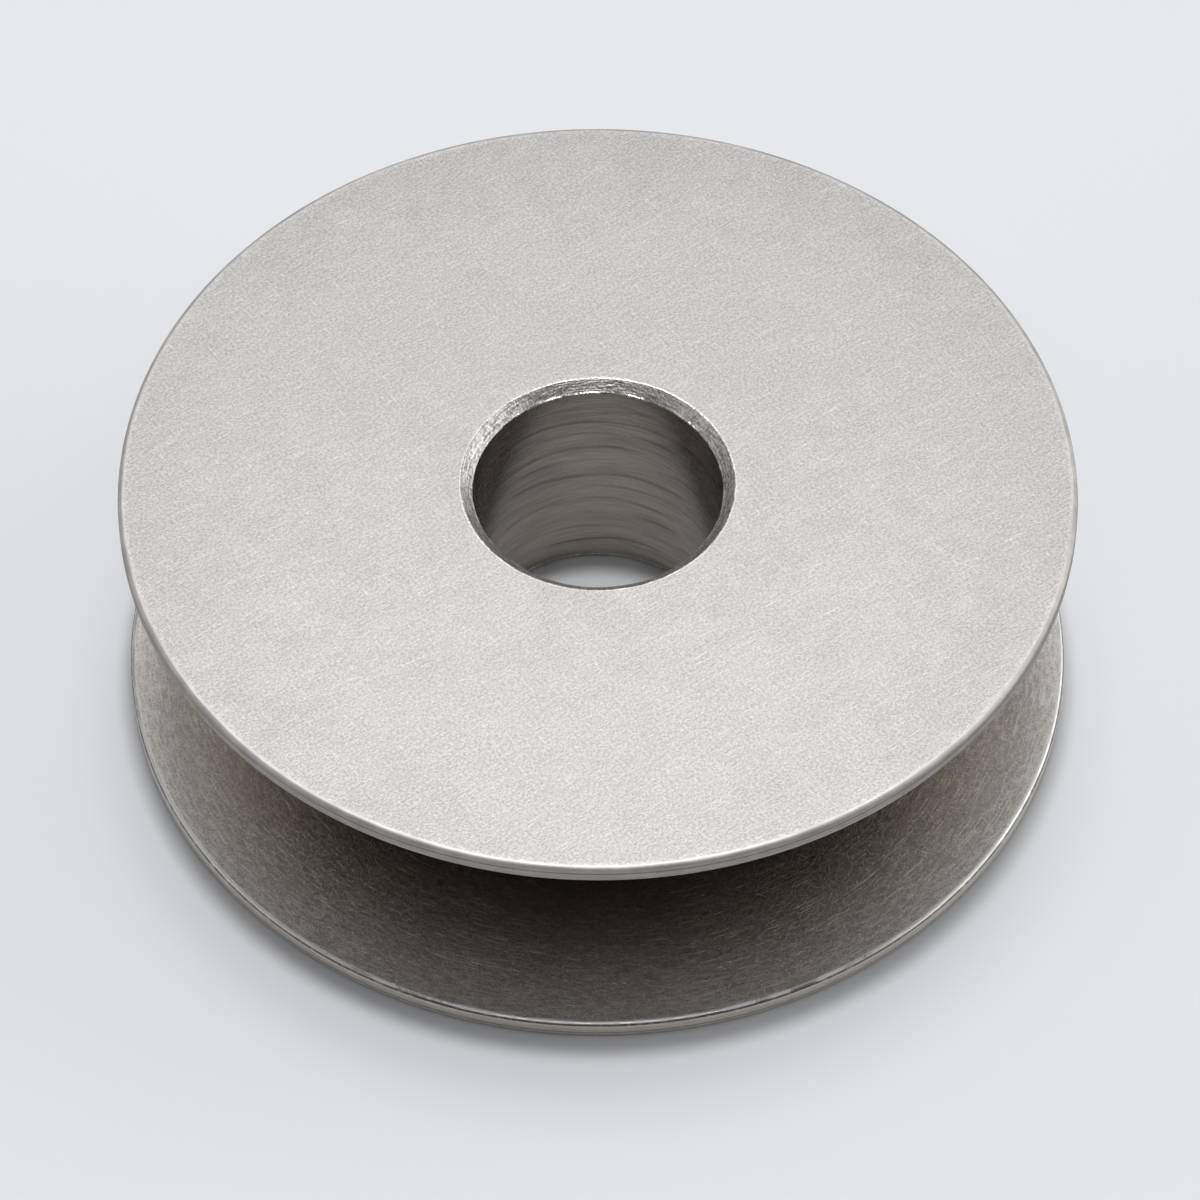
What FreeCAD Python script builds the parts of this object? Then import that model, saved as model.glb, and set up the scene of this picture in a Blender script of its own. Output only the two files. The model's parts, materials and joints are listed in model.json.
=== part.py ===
"""Sewing machine bobbin, turned from one piece of steel.

Two thin round flanges close the ends of a short hub, and thread is wound on the hub between them.
A plain bore runs through the hub, with a chamfer at each mouth that leads the spindle in.
The bobbin lies on one flange. Its axis is +Z, and the origin is where that axis meets the lower face.
All sizes are in millimetres.
"""

import FreeCAD
import Part
import os

# Overall size
flange_diameter = 23.0
overall_height = 6.7

# Flanges
flange_thickness = 0.5
flange_edge_radius = 0.13

# Bore for the spindle of the winder and the post of the bobbin case
bore_diameter = 6.0
bore_chamfer_width = 0.28
bore_chamfer_depth = 0.25

# Hub that carries the thread, round the bore
hub_wall = 1.3
hub_fillet_radius = 0.4

# Most of a wall or gap that the rounding of one corner takes up
corner_share = 0.45

# Sizes worked out from those above
bore_radius = bore_diameter / 2
hub_radius = bore_radius + hub_wall
rim_radius = flange_diameter / 2
mid_height = overall_height / 2
thread_width = overall_height - 2 * flange_thickness
thread_depth = rim_radius - hub_radius
edge_radius = min(flange_edge_radius, corner_share * flange_thickness)
fillet_radius = min(hub_fillet_radius, corner_share * thread_width, corner_share * thread_depth)

# Axis of the bobbin
origin = FreeCAD.Vector(0, 0, 0)
bobbin_axis = FreeCAD.Vector(0, 0, 1)
full_turn = 360


def section_point(radius, height):
    """A point of the turned section, at that distance from the axis and above the lower face."""
    return FreeCAD.Vector(radius, 0, height)


def quarter_arc(start, centre, end):
    """A quarter circle of the section from start to end about centre."""
    outward = (start - centre) + (end - centre)
    middle = centre + outward.normalize() * start.distanceToPoint(centre)
    return Part.Arc(start, middle, end).toShape()


def chamfer_edge():
    """The chamfer of the bore's lower mouth, from the bore wall out to the lower face."""
    inner = section_point(bore_radius, bore_chamfer_depth)
    outer = section_point(bore_radius + bore_chamfer_width, 0)
    return Part.makeLine(inner, outer)


def flange_edges():
    """The lower flange: its outer face, its rim with two rounded edges, and its inner face."""
    face_radius = rim_radius - edge_radius
    rim_top = flange_thickness - edge_radius

    face_inner = section_point(bore_radius + bore_chamfer_width, 0)
    face_outer = section_point(face_radius, 0)
    rim_low = section_point(rim_radius, edge_radius)
    rim_high = section_point(rim_radius, rim_top)
    inside_outer = section_point(face_radius, flange_thickness)
    inside_inner = section_point(hub_radius + fillet_radius, flange_thickness)

    low_round_centre = section_point(face_radius, edge_radius)
    high_round_centre = section_point(face_radius, rim_top)
    return [
        Part.makeLine(face_inner, face_outer),
        quarter_arc(face_outer, low_round_centre, rim_low),
        Part.makeLine(rim_low, rim_high),
        quarter_arc(rim_high, high_round_centre, inside_outer),
        Part.makeLine(inside_outer, inside_inner),
    ]


def hub_fillet_edge():
    """The fillet at the foot of the hub, from the lower flange's inner face up to the hub wall."""
    fillet_top = flange_thickness + fillet_radius
    flange_end = section_point(hub_radius + fillet_radius, flange_thickness)
    hub_end = section_point(hub_radius, fillet_top)
    centre = section_point(hub_radius + fillet_radius, fillet_top)
    return quarter_arc(flange_end, centre, hub_end)


def wall_edge(radius, end_distance):
    """A straight wall along the axis that stops end_distance short of both outer faces."""
    low = section_point(radius, end_distance)
    high = section_point(radius, overall_height - end_distance)
    return Part.makeLine(low, high)


def bobbin_solid():
    """The section turned about the axis. Its upper end mirrors its lower end at mid height."""
    lower_end = [chamfer_edge()] + flange_edges() + [hub_fillet_edge()]
    mirror_point = section_point(0, mid_height)
    upper_end = [edge.mirror(mirror_point, bobbin_axis) for edge in lower_end]
    bore_wall = wall_edge(bore_radius, bore_chamfer_depth)
    hub_outside = wall_edge(hub_radius, flange_thickness + fillet_radius)

    outline = Part.__sortEdges__([bore_wall, hub_outside] + lower_end + upper_end)
    section = Part.Face(Part.Wire(outline))
    return section.revolve(origin, bobbin_axis, full_turn)


os.makedirs("parts", exist_ok=True)
bobbin_solid().exportStep("parts/bobbin.step")
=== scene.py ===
"""Looks of the sewing machine bobbin, a turned steel spool that lies on a pale floor.

The section is turned again here in fine rows, so that the rounded edges, the tool marks in the bore
and the rough chamfers are real shapes. Its outer size and its bore come from the frame.
Lengths are in millimetres, and are changed to metres where a mesh, a light or the camera is made.
"""

import json
import math

import bpy
import numpy as np
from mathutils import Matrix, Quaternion, Vector, noise


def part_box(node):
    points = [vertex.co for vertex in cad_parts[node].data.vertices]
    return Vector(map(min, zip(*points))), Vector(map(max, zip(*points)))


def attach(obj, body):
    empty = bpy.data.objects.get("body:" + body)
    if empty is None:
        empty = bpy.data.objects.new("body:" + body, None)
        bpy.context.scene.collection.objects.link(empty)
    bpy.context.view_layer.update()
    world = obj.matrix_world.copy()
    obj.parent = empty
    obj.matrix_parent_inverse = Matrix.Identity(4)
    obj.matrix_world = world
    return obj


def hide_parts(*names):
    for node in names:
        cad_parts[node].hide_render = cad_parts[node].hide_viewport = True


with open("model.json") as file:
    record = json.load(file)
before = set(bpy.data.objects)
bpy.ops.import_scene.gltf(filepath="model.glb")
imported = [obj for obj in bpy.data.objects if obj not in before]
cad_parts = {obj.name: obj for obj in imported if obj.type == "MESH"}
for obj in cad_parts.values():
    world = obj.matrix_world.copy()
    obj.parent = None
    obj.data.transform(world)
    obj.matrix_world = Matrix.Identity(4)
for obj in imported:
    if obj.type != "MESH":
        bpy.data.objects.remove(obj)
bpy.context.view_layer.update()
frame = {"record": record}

MM = 0.001
MICRON = 0.000001

# Sizes of the section that the frame gives
node_low, node_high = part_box("bobbin")
bore_mount = next(m for m in frame["record"]["mounts"] if m["name"] == "bore")
overall_height = (node_high.z - node_low.z) / MM
rim_radius = (node_high.y - node_low.y) / MM / 2
bore_radius = bore_mount["dims"]["r_mm"]
chamfer_depth = (overall_height - bore_mount["dims"]["length_mm"]) / 2

# Sizes of the section that the frame doesn't hold. They are the solid's, but for the mouths, which
# are sharp on the solid.
edge_radius = 0.13
chamfer_width = 0.28
flange_thickness = 0.5
hub_wall = 1.3
fillet_radius = 0.4
mouth_rounding = 0.05

# Radii where the flat faces end, where the hub is, and where the chamfers meet the faces
face_radius = rim_radius - edge_radius
hub_radius = bore_radius + hub_wall
mouth_radius = bore_radius + chamfer_width

# Rounding of the section's corners: radius, and rows of mesh across it
corner_rounding = {
    "mouth": (mouth_rounding, 4),
    "edge": (edge_radius, 7),
    "fillet": (fillet_radius, 6),
}

# Rows of mesh across each straight stretch of the section, and columns round the bobbin
stretch_rows = {"bore": 60, "chamfer": 6, "face": 4, "rim": 5, "inside": 4, "hub": 24}
columns = 440
corner_margin = 0.012

# Relief left by the tools: height, and the size or spacing of the marks
chamfer_lumps = (0.004, 0.10)
rim_lumps = (0.003, 0.45)
rim_rings = (0.0012, (0.09, 0.13))
bore_rings = (0.0016, (0.47, 0.31, 0.19))
hub_rings = (0.0016, (0.55, 0.33))

# Dark rings in the bore: distance from one to the next, and how far they wander, in radians
bore_ring_spacing = 0.5
bore_ring_wander = 5

# Thin dark lines round each rim, painted as a dark reflection on the edges: distance from the outer
# face, half width, and how dark
rim_lines = [(0.185, 0.035, 0.45), (0.440, 0.034, 0.80)]

# Rounded edges of the rims: where they begin and are complete, from the middle of the thickness
rim_rounding = (0.15, 0.225)

# Lower rim: its painted light, an extra brightness, and its painted shade by the floor: how bright its
# foot is at the floor, and the heights between which that darkness fades
lower_rim_painted_light = 0.90
foot_shade = 0.45
foot_heights = (0.02, 0.14)

# Bright burrs at the bore's mouth, their brightness a painted highlight: width on the face, the even
# part of that, and width on the chamfer at its inner edge
burr_highlight_width = 0.06
burr_highlight_even_width = 0.02
inner_burr_and_highlight_width = 0.05

# Bright worn ring round each outer face, where its edge begins: width, and how far it wanders
worn_ring_width = 0.11
worn_ring_wander = 0.24

# Outer faces: angle of the tumbling marks in degrees, the radius where the face begins to darken
# towards the rim, and how bright it is there
tumbling_angle = 38
face_even_radius = 7.5
face_shade_at_rim = 0.95

# Inner faces, with painted shade towards the hub and painted light towards the rim: radii between
# which they grow brighter, the second a little past the rim, how bright they are at the first, how
# much is added by the second, and how bright the metal between marks is
inside_brightening = (hub_radius + 2, rim_radius + 0.8)
inside_hub_painted_shade = 0.14
inside_rim_painted_light_gain = 1.08
inside_plain_shade = 0.89

# Noise from 0 to 1 is mostly between these
noise_low = 0.3
noise_high = 0.7

# The finish on each stretch and corner of the section
finish_of = {
    "face": "face",
    "edge": "rim",
    "rim": "rim",
    "inside": "inside",
    "fillet": "hub",
    "hub": "hub",
    "mouth": "chamfer",
    "chamfer": "chamfer",
    "bore": "bore",
}

# Steel: bright where it is tumbled and worn, duller and warmer where the tumbling doesn't reach; the
# hub's darkness is also painted shade at the bottom of the groove
face_colour = (0.530, 0.519, 0.509)
worn_colour = (0.62, 0.60, 0.58)
rim_colour = (0.36, 0.34, 0.315)
chamfer_colour = (0.72, 0.70, 0.68)
inside_colour = (0.80, 0.78, 0.755)
inside_hub_colour = (0.82, 0.70, 0.565)
# The hub's darkness is partly painted shade at the bottom of the groove
hub_colour = (0.20, 0.18, 0.155)
bore_colour = (0.265, 0.239, 0.204)

# Floor
floor_colour = (0.775, 0.790, 0.820, 1)
floor_half_width = 8000
floor_gap = 0.01

# Softboxes: share of the light on the floor, half its width and height as angles from the bobbin,
# and how far it leans back and to the right from straight overhead, in degrees
softboxes = {
    "key_softbox": (0.42, 2.5, 2.5, 3.3, 0),
    "wide_softbox": (0.235, 12, 12, 14, 0),
    "front_softbox": (0.075, 20, 13, -29, 0),
}
softbox_distance = 600

# Room light: how bright the room and its horizon are, and between which heights of the direction
# the horizon's light fades
room_light = 0.03
horizon_light = 0.42
horizon_fade = (0.04, 0.14)

# Soft pale parts of the room: direction, degrees from there to the end of the even part and to
# where it has faded out, and strength
pale_parts = {
    "back_wall": ((0, 1, 0.6), 20, 70, 0.25),
    "left_wall": ((-1, -0.1, 0.40), 10, 42, 0.42),
    "right_wall": ((1, 0.15, 0.25), 12, 45, 1.30),
    "ceiling": ((0, 0.4, 1), 15, 45, 0.15),
}

# Camera
camera_elevation = math.radians(51.28)
camera_distance = 171.5
camera_lens = 211.5
camera_roll = math.radians(0.19)
camera_aim = Vector((0.06, -0.93, overall_height / 2))


def section_corners():
    """The section's corners in order, as (kind of rounding, radius, height, stretch that follows).
    They go out over the upper flange, down the hub, out and back under the lower one, and up the bore."""
    top = overall_height
    inner_top = top - flange_thickness
    return [
        ("mouth", bore_radius, top - chamfer_depth, "chamfer"),
        ("mouth", mouth_radius, top, "face"),
        ("edge", rim_radius, top, "rim"),
        ("edge", rim_radius, inner_top, "inside"),
        ("fillet", hub_radius, inner_top, "hub"),
        ("fillet", hub_radius, flange_thickness, "inside"),
        ("edge", rim_radius, flange_thickness, "rim"),
        ("edge", rim_radius, 0, "face"),
        ("mouth", mouth_radius, 0, "chamfer"),
        ("mouth", bore_radius, chamfer_depth, "bore"),
    ]


def outward(direction):
    """The normal that points out of the metal, which lies to the right of the section's direction."""
    return np.array([-direction[1], direction[0]])


def unit(vector):
    return vector / np.linalg.norm(vector)


def rounded_corner(before, corner, after, radius, count):
    """The points and outward normals across one rounded corner, with both tangent points."""
    arriving = unit(corner - before)
    leaving = unit(after - corner)
    turn = math.atan2(arriving[0] * leaving[1] - arriving[1] * leaving[0], arriving @ leaving)
    hollow = math.copysign(1, turn)
    start = corner - arriving * radius * math.tan(abs(turn) / 2)
    centre = start + outward(arriving) * radius * hollow
    first = math.atan2(*outward(arriving)[::-1])
    rows = []
    for i in range(count + 1):
        angle = first + turn * i / count
        normal = np.array([math.cos(angle), math.sin(angle)])
        rows.append((centre - normal * radius * hollow, normal))
    return rows


def straight_rows(start, end, count):
    """Points between start and end, with one close to each, so that the shading stays flat between."""
    margin = corner_margin / np.linalg.norm(end - start)
    return [start + (end - start) * share for share in np.linspace(margin, 1 - margin, count + 2)]


def section_rows():
    """Every row of the closed section: its point, outward normal and kind, and whose marks it has."""
    corners = section_corners()
    points = [np.array([radius, height], float) for _, radius, height, _ in corners]
    arcs = []
    for i, (kind, _, _, _) in enumerate(corners):
        after = points[(i + 1) % len(points)]
        arcs.append(rounded_corner(points[i - 1], points[i], after, *corner_rounding[kind]))

    rows = []
    for i, (kind, _, _, stretch) in enumerate(corners):
        stretch_before = corners[i - 1][3]
        steps = len(arcs[i]) - 1
        for j, (point, normal) in enumerate(arcs[i]):
            marks = {stretch_before: 1 - j / steps, stretch: j / steps}
            rows.append((point, normal, kind, marks))
        start, normal = arcs[i][-1]
        end, _ = arcs[(i + 1) % len(arcs)][0]
        for point in straight_rows(start, end, stretch_rows[stretch]):
            rows.append((point, normal, stretch, {stretch: 1}))
    return rows


def lumps(points, height, size):
    """Random unevenness, between minus height and nothing, so that it never stands proud."""
    values = np.array([noise.noise(Vector(point / size)) for point in points])
    return (values - 1) / 2 * height


def rings(points, height, spacings):
    """Turned rings, uneven in depth round the bobbin, between minus height and nothing."""
    total = np.zeros(len(points))
    for spacing in spacings:
        stretched = points / np.array([2, 2, spacing])
        drift = np.array([noise.noise(Vector(point)) for point in stretched])
        total += np.sin(2 * math.pi * points[:, 2] / spacing + 2 * drift)
    return (total / len(spacings) - 1) / 2 * height


def relief(stretch, points):
    """How far the tool marks of a stretch move its surface along the outward normal."""
    if stretch == "chamfer":
        return lumps(points, *chamfer_lumps)
    if stretch == "rim":
        return lumps(points, *rim_lumps) + rings(points, *rim_rings)
    if stretch == "bore":
        return rings(points, *bore_rings)
    if stretch == "hub":
        return rings(points, *hub_rings)
    return np.zeros(len(points))


def turned_row(point, normal, marks):
    """One row of the section, turned round the axis, with its tool marks."""
    angles = np.arange(columns) * 2 * math.pi / columns
    around = np.stack([np.cos(angles), np.sin(angles)], axis=1)
    smooth = np.column_stack([around * point[0], np.full(columns, point[1])])
    out = np.column_stack([around * normal[0], np.full(columns, normal[1])])
    moved = sum(share * relief(stretch, smooth) for stretch, share in marks.items() if share > 0)
    return smooth + out * moved[:, None]


def make_bobbin(finishes):
    """The whole bobbin as one closed mesh. finishes is a material for each name in finish_of."""
    slots = sorted(finishes)
    rows = section_rows()
    vertices = np.concatenate([turned_row(point, normal, marks) for point, normal, _, marks in rows])
    faces = []
    face_slots = []
    for i, (_, _, kind, _) in enumerate(rows):
        this_row = i * columns
        next_row = (i + 1) % len(rows) * columns
        for j in range(columns):
            beside = (j + 1) % columns
            faces.append([this_row + j, next_row + j, next_row + beside, this_row + beside])
            face_slots.append(slots.index(finish_of[kind]))

    mesh = bpy.data.meshes.new("turned_bobbin")
    mesh.from_pydata((vertices * MM).tolist(), [], faces)
    for slot in slots:
        mesh.materials.append(finishes[slot])
    mesh.polygons.foreach_set("material_index", face_slots)
    mesh.shade_smooth()
    bobbin = bpy.data.objects.new("turned_bobbin", mesh)
    bpy.context.scene.collection.objects.link(bobbin)
    return bobbin


def add_node(tree, kind, inputs=None, **settings):
    """A new node. inputs gives a value or another node's socket for each input, by name or number."""
    made = tree.nodes.new(kind)
    for name, value in settings.items():
        setattr(made, name, value)
    for name, value in (inputs or {}).items():
        if isinstance(value, bpy.types.NodeSocket):
            tree.links.new(value, made.inputs[name])
        else:
            made.inputs[name].default_value = value
    return made


def smooth_step(tree, value, low, high, at_low=0.0, at_high=1.0):
    """value from low to high, carried smoothly to at_low to at_high and held there outside."""
    inputs = {"Value": value, "From Min": low, "From Max": high, "To Min": at_low, "To Max": at_high}
    made = add_node(tree, "ShaderNodeMapRange", inputs, interpolation_type="SMOOTHSTEP")
    return made.outputs["Result"]


class Finish:
    """One procedural finish of the steel. Its coordinates are millimetres in the bobbin's own frame."""

    def __init__(self, name):
        self.material = bpy.data.materials.new(name)
        self.material.use_nodes = True
        self.tree = self.material.node_tree
        self.surface = self.tree.nodes["Principled BSDF"]
        self.surface.inputs["Metallic"].default_value = 1
        metres = add_node(self.tree, "ShaderNodeTexCoord").outputs["Object"]
        self.point = self.vector("SCALE", {0: metres, "Scale": 1 / MM})
        self.flat = self.vector("MULTIPLY", {0: self.point, 1: (1, 1, 0)})
        self.radius = self.vector("LENGTH", {0: self.flat}, "Value")
        self.height = add_node(self.tree, "ShaderNodeSeparateXYZ", {0: self.point}).outputs["Z"]

    def vector(self, operation, inputs, output="Vector"):
        made = add_node(self.tree, "ShaderNodeVectorMath", inputs, operation=operation)
        return made.outputs[output]

    def math(self, operation, *values):
        made = add_node(self.tree, "ShaderNodeMath", dict(enumerate(values)), operation=operation)
        return made.outputs["Value"]

    def total(self, *values):
        """The sum of several heights or shares."""
        result = values[0]
        for value in values[1:]:
            result = self.math("ADD", result, value)
        return result

    def step(self, value, low, high, at_low=0.0, at_high=1.0):
        """A smooth step of value in this finish."""
        return smooth_step(self.tree, value, low, high, at_low, at_high)

    def spread(self, value, at_low, at_high):
        """Noise carried to at_low to at_high, over the part where most of it lies."""
        return self.step(value, noise_low, noise_high, at_low, at_high)

    def noise(self, point, size, detail=2.0):
        """Random lumps of about that size, from 0 to 1."""
        inputs = {"Vector": point, "Scale": 1 / size, "Detail": detail}
        return add_node(self.tree, "ShaderNodeTexNoise", inputs).outputs["Fac"]

    def across_face(self, angle, length, width):
        """Coordinates that draw noise out into strokes at an angle across the flange, in degrees."""
        turned = (0, 0, math.radians(angle))
        inputs = {"Vector": self.point, "Rotation": turned, "Scale": (length, width, width)}
        return add_node(self.tree, "ShaderNodeMapping", inputs, vector_type="TEXTURE").outputs["Vector"]

    def round_axis(self, strokes, width):
        """Coordinates that draw noise out into strokes round the axis. More strokes are shorter ones."""
        direction = self.vector("NORMALIZE", {0: self.flat})
        across = self.math("DIVIDE", self.math("ADD", self.radius, self.height), width)
        inwards = add_node(self.tree, "ShaderNodeCombineXYZ", {"Z": across}).outputs["Vector"]
        return self.vector("MULTIPLY_ADD", {0: direction, 1: (strokes, strokes, 0), 2: inwards})

    def ridges(self, value, width):
        """Thin winding lines where noise passes its middle value, from 0 to 1."""
        beside = self.math("ABSOLUTE", self.math("SUBTRACT", value, 0.5))
        return self.step(beside, 0.0, width, 1, 0)

    def scratches(self, point, rarity):
        """Thin separate lines in drawn-out noise, from 0 to 1. rarity is from 0.5, many, to 0.8, few."""
        return self.step(self.noise(point, 1, 0), rarity, rarity + 0.1)

    def mix(self, share, first, second):
        """One colour carried to another by share, from 0 to 1."""
        change = self.vector("SCALE", {0: np.subtract(second, first), "Scale": share})
        return self.vector("ADD", {0: change, 1: first})

    def colour(self, colour, brightness):
        """A colour of steel, made lighter or darker by brightness."""
        coloured = self.vector("SCALE", {0: colour, "Scale": brightness})
        self.tree.links.new(coloured, self.surface.inputs["Base Color"])

    def roughness(self, value):
        self.tree.links.new(value, self.surface.inputs["Roughness"])

    def bumps(self, *layers):
        """Bumps of the surface. Each layer is a texture and its height in thousandths of a mm."""
        heights = [self.math("MULTIPLY", texture, height) for texture, height in layers]
        inputs = {"Height": self.total(*heights), "Distance": MICRON}
        bump = add_node(self.tree, "ShaderNodeBump", inputs).outputs["Normal"]
        self.tree.links.new(bump, self.surface.inputs["Normal"])


def face_finish():
    """The outer faces: tumbled satin, a fine grain of tiny dents with faint slanting strokes and
    clouds, a few short scratches, a thin painted highlight of burrs round the bore and a worn ring by
    the rim."""
    finish = Finish("satin_face")
    grain = finish.noise(finish.across_face(tumbling_angle, 0.07, 0.05), 1, 1)
    strokes = finish.noise(finish.across_face(tumbling_angle, 0.7, 0.065), 1, 1)
    dents = finish.ridges(finish.noise(finish.point, 0.12, 1), 0.06)
    clouds = finish.noise(finish.point, 0.9, 3)
    scratches = finish.total(
        finish.scratches(finish.across_face(30, 0.9, 0.06), 0.72),
        finish.scratches(finish.across_face(-55, 0.7, 0.06), 0.74),
    )
    # painted highlight of burrs round the bore's mouth
    burr_highlight_even_radius = mouth_radius + burr_highlight_even_width
    burr_and_highlight = finish.step(finish.radius, burr_highlight_even_radius, mouth_radius + burr_highlight_width, 0.7, 0)
    ragged = finish.noise(finish.round_axis(60, 0.09), 1, 1)
    ragged_radius = finish.math("MULTIPLY_ADD", ragged, worn_ring_wander, finish.radius)
    ring_end = face_radius + worn_ring_wander / 2
    worn_ring = finish.step(ragged_radius, ring_end - worn_ring_width, ring_end, 0, 0.14)
    shade = finish.total(
        finish.step(finish.radius, face_even_radius, rim_radius, 1, face_shade_at_rim),
        finish.spread(clouds, -0.027, 0.027),
        finish.spread(grain, -0.15, 0.15),
        finish.spread(strokes, -0.04, 0.04),
        finish.math("MULTIPLY", dents, 0.10),
        finish.math("MULTIPLY", scratches, 0.12),
        burr_and_highlight,
        worn_ring,
    )
    finish.colour(face_colour, shade)
    finish.roughness(finish.spread(clouds, 0.505, 0.487))
    finish.bumps((grain, 1.6), (dents, 0.7))
    return finish.material


def inside_finish():
    """The inner faces of the flanges: painted shade that darkens them near the hub and painted light
    that brightens them towards the rim, warmer near the hub and rougher towards the rim, with short
    turned strokes and thin bright scratches from the thread."""
    finish = Finish("turned_inside")
    strokes = finish.noise(finish.round_axis(36, 0.07), 1, 2)
    grain = finish.noise(finish.point, 0.055, 1)
    dents = finish.ridges(finish.noise(finish.round_axis(50, 0.11), 1, 1), 0.045)
    scratches = finish.total(
        finish.scratches(finish.across_face(-24, 0.5, 0.045), 0.74),
        finish.scratches(finish.round_axis(10, 0.036), 0.68),
    )
    towards_rim = finish.step(finish.radius, *inside_brightening)
    texture = finish.total(
        finish.spread(strokes, -0.12, 0.12),
        finish.spread(grain, -0.11, 0.11),
        finish.math("MULTIPLY", dents, 0.26),
        finish.math("MULTIPLY", scratches, 0.38),
    )
    # painted shade near the hub and painted light towards the rim, by radius
    shade = finish.math("MULTIPLY_ADD", towards_rim, inside_rim_painted_light_gain, inside_hub_painted_shade)
    colour = finish.mix(towards_rim, inside_hub_colour, inside_colour)
    marked = finish.math("ADD", texture, inside_plain_shade)
    finish.colour(colour, finish.math("MULTIPLY", shade, marked))
    finish.roughness(finish.step(towards_rim, 0, 1, 0.34, 0.45))
    finish.bumps((strokes, 3.0), (grain, 1.5), (dents, 2.0), (scratches, 1.8))
    return finish.material


def hub_finish():
    """The hub, under the thread: the dullest metal, its darkness also painted shade deep in the groove,
    with turned rings.
    """
    finish = Finish("turned_hub")
    turned = finish.noise(finish.round_axis(2, 0.10), 1, 2)
    finish.colour(hub_colour, finish.spread(turned, 0.85, 1.15))
    finish.roughness(finish.spread(turned, 0.46, 0.36))
    finish.bumps((turned, 3.0))
    return finish.material


def rim_finish():
    """The rims: worn bright on their rounded edges, the inner ones polished by the thread, duller
    between them, with thin broken dark lines painted as a dark reflection. The lower rim has painted
    light that brightens it, and painted shade that darkens it where it meets the floor."""
    finish = Finish("turned_rim")
    turned = finish.noise(finish.round_axis(5, 0.045), 1, 1)
    wear = finish.noise(finish.round_axis(26, 0.3), 1, 2)
    nicks = finish.noise(finish.round_axis(80, 0.12), 1, 1)
    other_height = finish.math("SUBTRACT", overall_height, finish.height)
    from_face = finish.math("MINIMUM", finish.height, other_height)
    half_thickness = flange_thickness / 2
    upper_flange = overall_height - flange_thickness
    from_middle = finish.math("ABSOLUTE", finish.math("SUBTRACT", from_face, half_thickness))
    rounding = finish.step(from_middle, *rim_rounding)
    inner = finish.step(from_face, half_thickness, half_thickness + 0.12)
    colour = finish.mix(rounding, rim_colour, worn_colour)
    shade = finish.total(
        finish.spread(wear, 0.92, 1.08),
        finish.spread(turned, -0.10, 0.10),
        # painted light: the lower rim is brighter than the upper one
        finish.step(finish.height, flange_thickness, upper_flange, lower_rim_painted_light, 0),
    )
    # painted shade: the lower rim darkens where it meets the floor
    foot = finish.step(finish.height, *foot_heights, foot_shade, 1)
    shade = finish.math("MULTIPLY", shade, foot)
    # painted dark reflection: thin broken lines round the rims
    for place, half_width, darkness in rim_lines:
        beside = finish.math("ABSOLUTE", finish.math("SUBTRACT", from_face, place))
        line = finish.step(beside, 0.3 * half_width, half_width, darkness, 0)
        broken = finish.math("MULTIPLY", line, finish.step(nicks, 0.30, 0.50, 0.75, 1))
        shade = finish.math("MULTIPLY", shade, finish.math("SUBTRACT", 1.0, broken))
    finish.colour(colour, shade)
    polish = finish.math("MULTIPLY", inner, finish.step(wear, 0.38, 0.62, 0.08, 0.34))
    polished = finish.math("MULTIPLY", rounding, finish.math("SUBTRACT", polish, 0.02))
    finish.roughness(finish.math("SUBTRACT", 0.58, polished))
    finish.bumps((turned, 2.0), (finish.math("MULTIPLY", nicks, inner), 3.0))
    return finish.material


def chamfer_finish():
    """The chamfers: freshly cut metal, torn into bright and dark streaks and specks, with rough and
    broken burrs at the inner edge of the upper one, their bumps real and their brightness a painted
    highlight."""
    finish = Finish("cut_chamfer")
    streaks = finish.noise(finish.round_axis(7, 0.06), 1, 2)
    torn = finish.noise(finish.round_axis(24, 0.075), 1, 2)
    specks = finish.noise(finish.round_axis(50, 0.10), 1, 1)
    # burrs at the upper inner edge: real bumps, with a painted highlight in their colour
    edge = finish.step(finish.radius, bore_radius, bore_radius + inner_burr_and_highlight_width, 1, 0)
    upper = finish.step(finish.height, overall_height / 2, overall_height)
    broken = finish.step(finish.noise(finish.round_axis(5, 0.5), 1, 2), 0.42, 0.60)
    burr_and_highlight = finish.math("MULTIPLY", finish.math("MULTIPLY", edge, upper), broken)
    finish.colour(chamfer_colour, finish.total(
        finish.step(streaks, 0.35, 0.65, 0.70, 1.20),
        finish.step(torn, 0.38, 0.62, -0.20, 0.15),
        finish.step(specks, 0.38, 0.62, -0.16, 0.16),
        finish.math("MULTIPLY", burr_and_highlight, 0.35),
    ))
    finish.roughness(finish.spread(torn, 0.46, 0.32))
    rough_burr = finish.math("MULTIPLY", burr_and_highlight, specks)
    finish.bumps((streaks, 8.0), (torn, 10.0), (specks, 10.0), (rough_burr, 35.0))
    return finish.material


def bore_finish():
    """The bore's wall: thin dark turned rings on dull metal that is never polished."""
    finish = Finish("turned_bore")
    bands = finish.noise(finish.round_axis(1.2, 0.45), 1, 2)
    turned = finish.noise(finish.round_axis(3, 0.07), 1, 1)
    drift = finish.noise(finish.round_axis(0.9, 1.1), 1, 1)
    wander = finish.math("MULTIPLY", drift, bore_ring_wander)
    turn = finish.math("MULTIPLY_ADD", finish.height, math.tau / bore_ring_spacing, wander)
    broken = finish.step(finish.noise(finish.round_axis(1.5, 0.4), 1, 1), 0.36, 0.66)
    lines = finish.math("MULTIPLY", finish.step(finish.math("SINE", turn), 0.60, 1.0), broken)
    finish.colour(bore_colour, finish.total(
        finish.spread(bands, 0.93, 1.09),
        finish.spread(turned, -0.07, 0.07),
        finish.math("MULTIPLY", lines, -0.34),
    ))
    finish.roughness(finish.spread(turned, 0.30, 0.24))
    finish.bumps((turned, 1.5), (bands, 5.0))
    return finish.material


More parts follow.
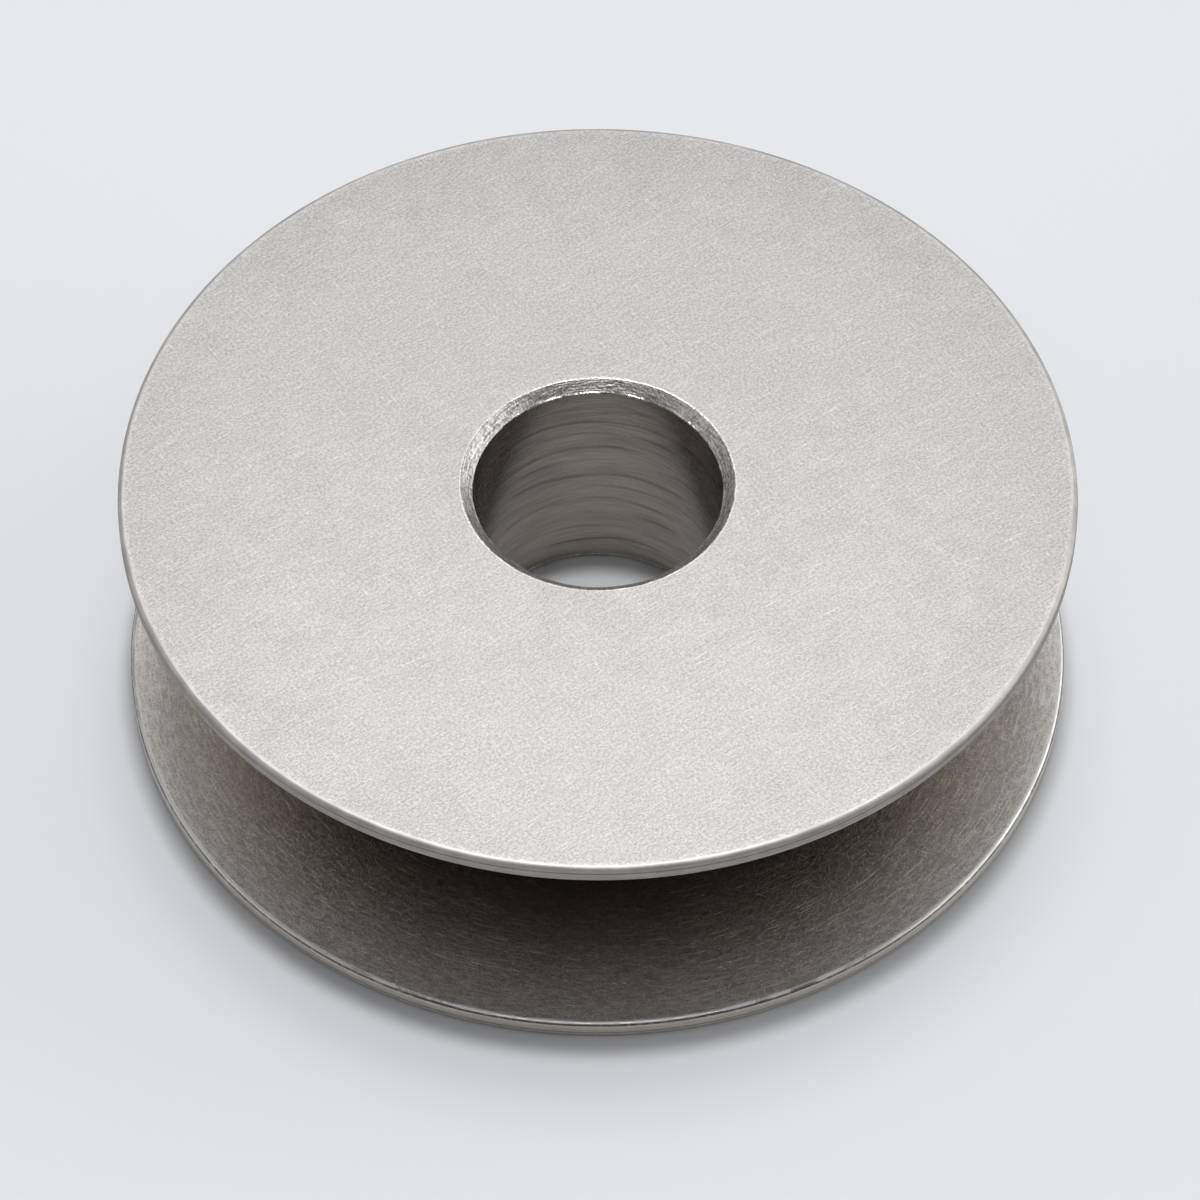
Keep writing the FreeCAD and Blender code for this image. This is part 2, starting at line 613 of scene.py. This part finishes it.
def make_floor():
    """A plain pale floor just under the bobbin, wide enough to reach the horizon."""
    corners = [(-1, -1), (1, -1), (1, 1), (-1, 1)]
    width = floor_half_width * MM
    mesh = bpy.data.meshes.new("floor")
    mesh.from_pydata([(x * width, y * width, -floor_gap * MM) for x, y in corners], [], [(0, 1, 2, 3)])
    material = bpy.data.materials.new("pale_floor")
    material.use_nodes = True
    paint = material.node_tree.nodes["Principled BSDF"]
    paint.inputs["Base Color"].default_value = floor_colour
    paint.inputs["Roughness"].default_value = 0.9
    paint.inputs["Specular IOR Level"].default_value = 0
    mesh.materials.append(material)
    floor = bpy.data.objects.new("floor", mesh)
    bpy.context.scene.collection.objects.link(floor)


def make_room():
    """The plain room round the bobbin: dim all over, with a pale horizon and soft pale parts."""
    world = bpy.data.worlds.new("studio")
    world.use_nodes = True
    tree = world.node_tree
    direction = add_node(tree, "ShaderNodeTexCoord").outputs["Generated"]
    up = add_node(tree, "ShaderNodeSeparateXYZ", {0: direction}).outputs["Z"]
    total = smooth_step(tree, up, *horizon_fade, horizon_light, room_light)
    for middle, even, faded, strength in pale_parts.values():
        inputs = {0: direction, 1: Vector(middle).normalized()}
        nearness = add_node(tree, "ShaderNodeVectorMath", inputs, operation="DOT_PRODUCT").outputs["Value"]
        faded_at = math.cos(math.radians(faded))
        even_at = math.cos(math.radians(even))
        light = smooth_step(tree, nearness, faded_at, even_at, 0, strength)
        total = add_node(tree, "ShaderNodeMath", {0: total, 1: light}).outputs[0]
    tree.links.new(total, tree.nodes["Background"].inputs["Strength"])
    tree.nodes["Background"].inputs["Color"].default_value = (1, 1, 1, 1)
    bpy.context.scene.world = world


def make_softbox(name, share, half_width, half_height, lean_back, lean_right):
    """A softbox high above the bobbin. Its power gives it that share of the floor's light."""
    data = bpy.data.lights.new(name, "AREA")
    data.shape = "ELLIPSE"
    data.size = 2 * softbox_distance * MM * math.tan(math.radians(half_width))
    data.size_y = 2 * softbox_distance * MM * math.tan(math.radians(half_height))
    slope_right = math.tan(math.radians(lean_right))
    slope_back = math.tan(math.radians(lean_back))
    direction = Vector((slope_right, slope_back, 1)).normalized()
    data.energy = share * (math.pi * softbox_distance * MM) ** 2 / direction.z
    softbox = bpy.data.objects.new(name, data)
    bpy.context.scene.collection.objects.link(softbox)
    softbox.location = direction * softbox_distance * MM
    softbox.rotation_euler = direction.to_track_quat("Z", "Y").to_euler()


def make_camera():
    """The photograph's viewpoint: in front of the bobbin, looking down on it with a long lens."""
    camera = bpy.data.objects.new("camera", bpy.data.cameras.new("camera"))
    bpy.context.scene.collection.objects.link(camera)
    back = Vector((0, -math.cos(camera_elevation), math.sin(camera_elevation)))
    centre = Vector((0, 0, overall_height / 2))
    place = centre + back * camera_distance
    looking = (camera_aim - place).to_track_quat("-Z", "Y")
    camera.location = place * MM
    camera.rotation_mode = "QUATERNION"
    camera.rotation_quaternion = looking @ Quaternion((0, 0, 1), camera_roll)
    camera.data.lens = camera_lens
    camera.data.clip_start = 1 * MM
    camera.data.clip_end = 2 * floor_half_width * MM
    bpy.context.scene.camera = camera


def main():
    finishes = {
        "face": face_finish(),
        "inside": inside_finish(),
        "hub": hub_finish(),
        "rim": rim_finish(),
        "chamfer": chamfer_finish(),
        "bore": bore_finish(),
    }
    bobbin = make_bobbin(finishes)
    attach(bobbin, "root")
    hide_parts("bobbin")
    make_floor()
    make_room()
    for name, settings in softboxes.items():
        make_softbox(name, *settings)
    make_camera()
    bpy.context.scene.view_settings.view_transform = "Standard"


main()
